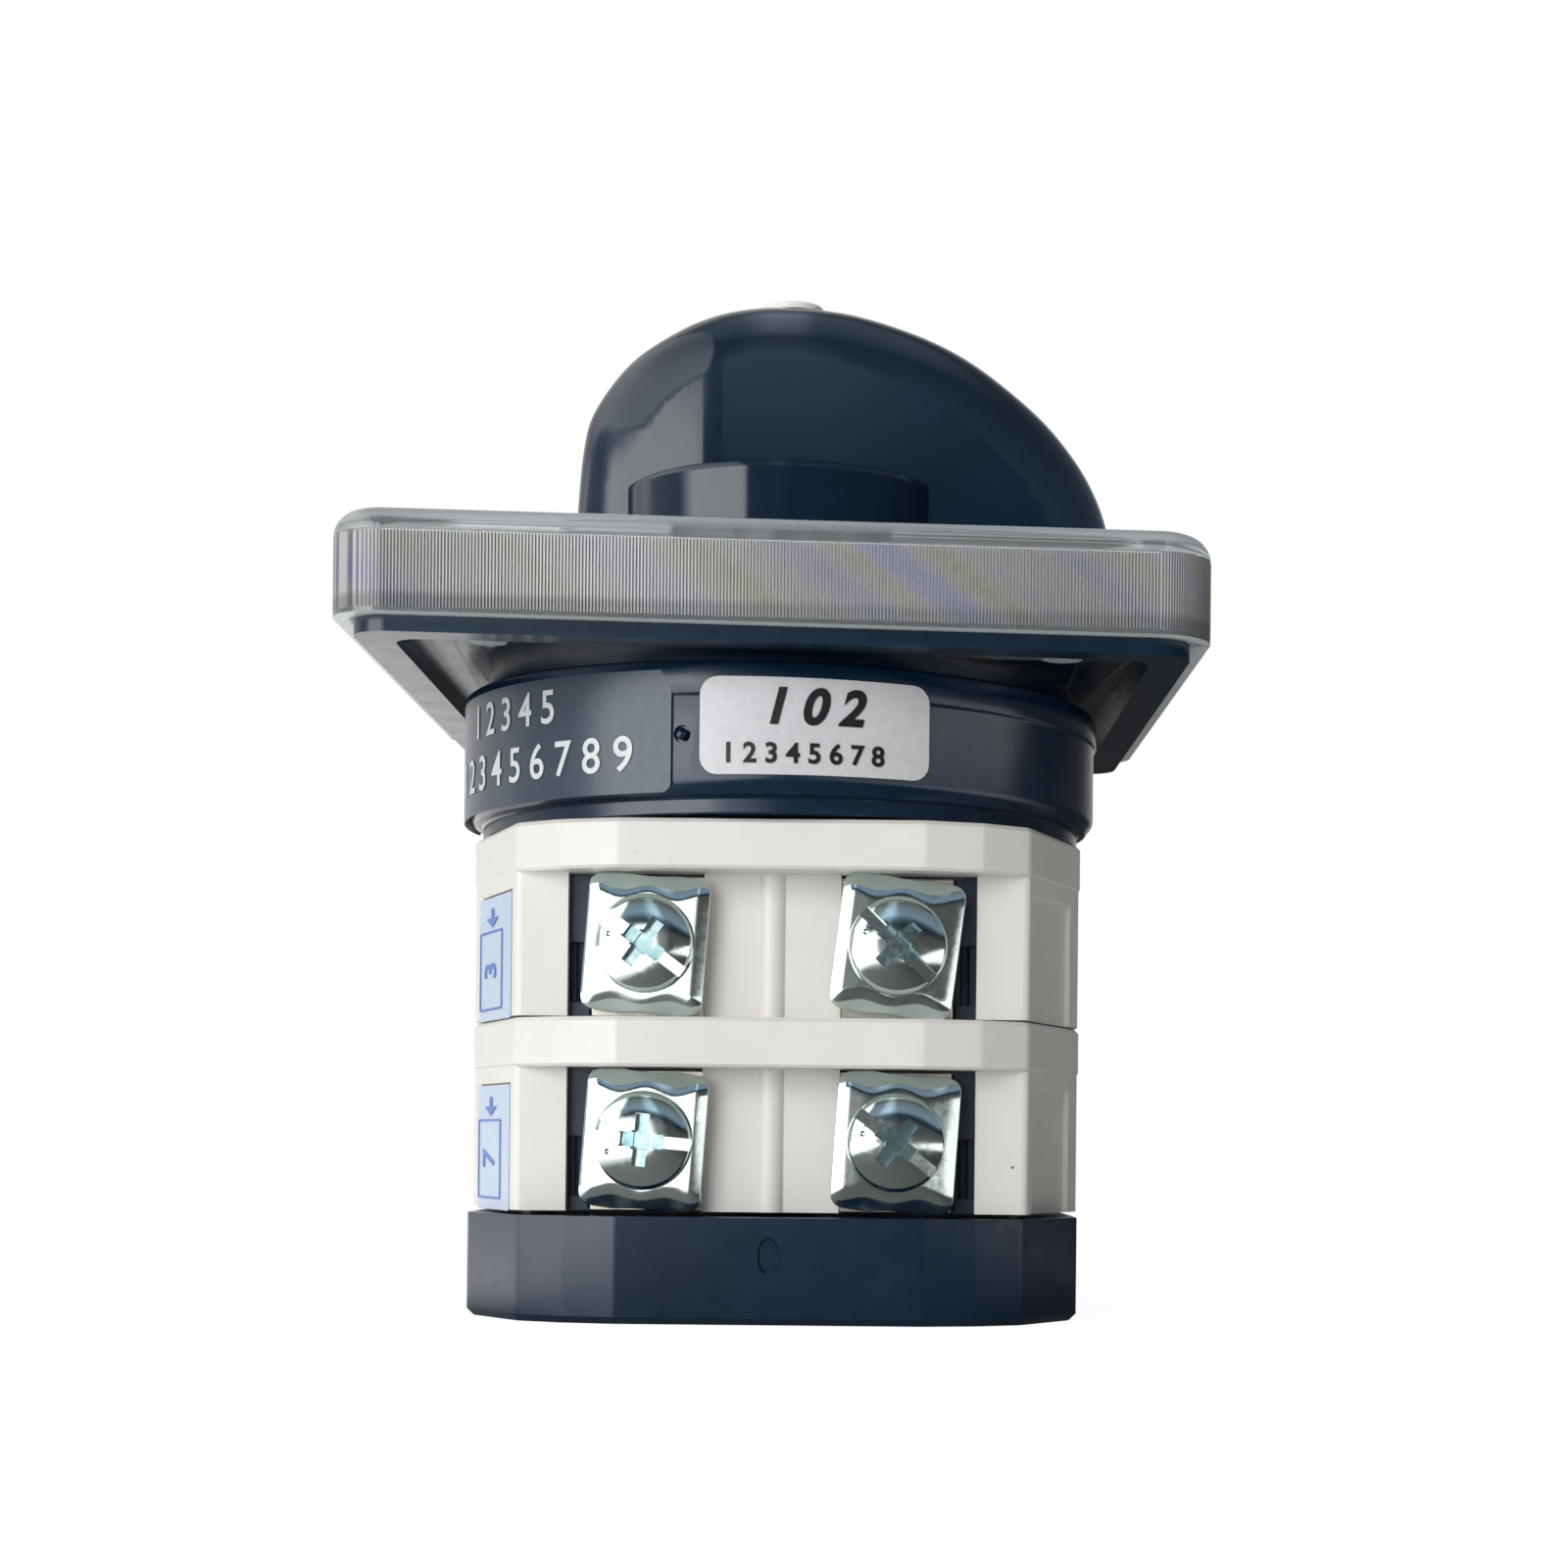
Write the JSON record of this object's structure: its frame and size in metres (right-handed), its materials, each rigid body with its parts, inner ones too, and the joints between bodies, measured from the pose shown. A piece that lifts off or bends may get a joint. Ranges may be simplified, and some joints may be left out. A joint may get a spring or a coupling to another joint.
{
  "type": "rotary cam changeover switch",
  "caption": "Panel-mounted rotary changeover cam switch with a fin knob, clear square cover, detent housing, stacked contact stages and screw clamp terminals.",
  "frame": {"origin": "centre of the end base's underside, on the shaft axis", "axes": "+Z along the shaft axis towards the knob; -Y towards the front terminals; +X where the knob's long nose points at rest"},
  "size_m": [0.06, 0.06, 0.0784],
  "materials": {
    "knob_black": "glossy moulded plastic",
    "black_plastic": "satin moulded plastic",
    "white_plastic": "satin moulded plastic",
    "cap_white": "satin moulded plastic",
    "clear_plastic": "clear moulded plastic with fine vertical ribs",
    "legend_grey": "satin sheet",
    "nylon": "natural moulded nylon",
    "zinc_plate": "bright zinc plating",
    "steel_shaft": "drawn square bar",
    "contact_brass": "tinned brass strip",
    "spring_steel": "spring steel"
  },
  "bodies": {
    "housing": {"clear_cover": "clear_plastic", "legend_plate": "legend_grey", "front_plate": "black_plastic", "plate_screw_1": "zinc_plate", "plate_screw_2": "zinc_plate", "detent_housing": "black_plastic", "detent_leaf_front": "spring_steel", "detent_leaf_rear": "spring_steel", "end_base": "black_plastic", "tie_screw_left": "zinc_plate", "tie_screw_right": "zinc_plate", "stage_frame_upper": "white_plastic", "contact_chamber_upper": "black_plastic", "contact_spring_upper_front": "spring_steel", "fixed_contact_upper_front_left": "contact_brass", "clamp_plate_upper_front_left": "zinc_plate", "terminal_screw_upper_front_left": "zinc_plate", "fixed_contact_upper_front_right": "contact_brass", "clamp_plate_upper_front_right": "zinc_plate", "terminal_screw_upper_front_right": "zinc_plate", "contact_spring_upper_rear": "spring_steel", "fixed_contact_upper_rear_left": "contact_brass", "clamp_plate_upper_rear_left": "zinc_plate", "terminal_screw_upper_rear_left": "zinc_plate", "fixed_contact_upper_rear_right": "contact_brass", "clamp_plate_upper_rear_right": "zinc_plate", "terminal_screw_upper_rear_right": "zinc_plate", "stage_frame_lower": "white_plastic", "contact_chamber_lower": "black_plastic", "contact_spring_lower_front": "spring_steel", "fixed_contact_lower_front_left": "contact_brass", "clamp_plate_lower_front_left": "zinc_plate", "terminal_screw_lower_front_left": "zinc_plate", "fixed_contact_lower_front_right": "contact_brass", "clamp_plate_lower_front_right": "zinc_plate", "terminal_screw_lower_front_right": "zinc_plate", "contact_spring_lower_rear": "spring_steel", "fixed_contact_lower_rear_left": "contact_brass", "clamp_plate_lower_rear_left": "zinc_plate", "terminal_screw_lower_rear_left": "zinc_plate", "fixed_contact_lower_rear_right": "contact_brass", "clamp_plate_lower_rear_right": "zinc_plate", "terminal_screw_lower_rear_right": "zinc_plate"},
    "rotor": {"shaft": "steel_shaft", "knob": "knob_black", "knob_screw": "zinc_plate", "knob_plug": "cap_white", "cam_upper": "nylon", "cam_lower": "nylon", "index_wheel": "nylon"},
    "contact_upper_front": {"contact_carrier_upper_front": "nylon", "contact_bridge_upper_front": "contact_brass"},
    "contact_upper_rear": {"contact_carrier_upper_rear": "nylon", "contact_bridge_upper_rear": "contact_brass"},
    "contact_lower_front": {"contact_carrier_lower_front": "nylon", "contact_bridge_lower_front": "contact_brass"},
    "contact_lower_rear": {"contact_carrier_lower_rear": "nylon", "contact_bridge_lower_rear": "contact_brass"}
  },
  "joints": [
    {"name": "switch_turn", "type": "hinge", "parent": "housing", "child": "rotor", "pos_m": [0, 0, 0], "axis": [0, 0, 1], "range_deg": [-60, 60], "deforming": ["detent_leaf_front", "detent_leaf_rear"]},
    {"name": "contact_upper_front_slide", "type": "slide", "parent": "housing", "child": "contact_upper_front", "axis": [0, 1, 0], "range_m": [-0.0014, 0.0014], "deforming": ["contact_spring_upper_front"]},
    {"name": "contact_upper_rear_slide", "type": "slide", "parent": "housing", "child": "contact_upper_rear", "axis": [0, 1, 0], "range_m": [-0.0014, 0.0014], "deforming": ["contact_spring_upper_rear"]},
    {"name": "contact_lower_front_slide", "type": "slide", "parent": "housing", "child": "contact_lower_front", "axis": [0, 1, 0], "range_m": [-0.0014, 0.0014], "deforming": ["contact_spring_lower_front"]},
    {"name": "contact_lower_rear_slide", "type": "slide", "parent": "housing", "child": "contact_lower_rear", "axis": [0, 1, 0], "range_m": [-0.0014, 0.0014], "deforming": ["contact_spring_lower_rear"]}
  ],
  "couplings": [
    {"joint": "contact_upper_front_slide", "follows": "switch_turn", "m_per_rad": 0.0012414},
    {"joint": "contact_upper_rear_slide", "follows": "switch_turn", "m_per_rad": 0.0012414},
    {"joint": "contact_lower_front_slide", "follows": "switch_turn", "m_per_rad": 0.0012414},
    {"joint": "contact_lower_rear_slide", "follows": "switch_turn", "m_per_rad": 0.0012414}
  ]
}
